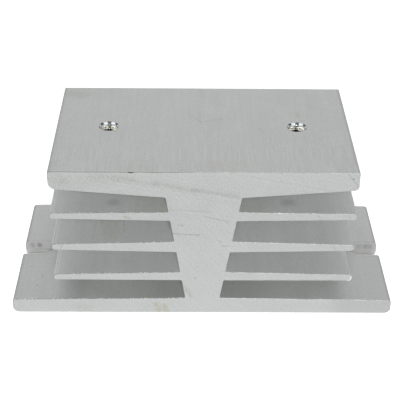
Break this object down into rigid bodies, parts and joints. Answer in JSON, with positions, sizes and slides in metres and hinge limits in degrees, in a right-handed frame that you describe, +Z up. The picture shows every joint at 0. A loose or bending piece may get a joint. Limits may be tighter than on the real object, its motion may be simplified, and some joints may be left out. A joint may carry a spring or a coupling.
{
  "type": "extruded heat sink",
  "caption": "Extruded aluminium heat sink: flat device plate with tapped holes on a wedge web, tapered side fins and a wide slotted base flange.",
  "frame": {"origin": "middle of the underside of the base flange", "axes": "+X across the section, along the width of the flange; +Y along the extrusion, from the front sawn end to the back one; +Z up, out of the device face"},
  "size_m": [0.096, 0.045, 0.0414],
  "materials": {
    "extruded_aluminium": "satin"
  },
  "bodies": {
    "root": {"heat_sink": "extruded_aluminium"}
  },
  "joints": []
}
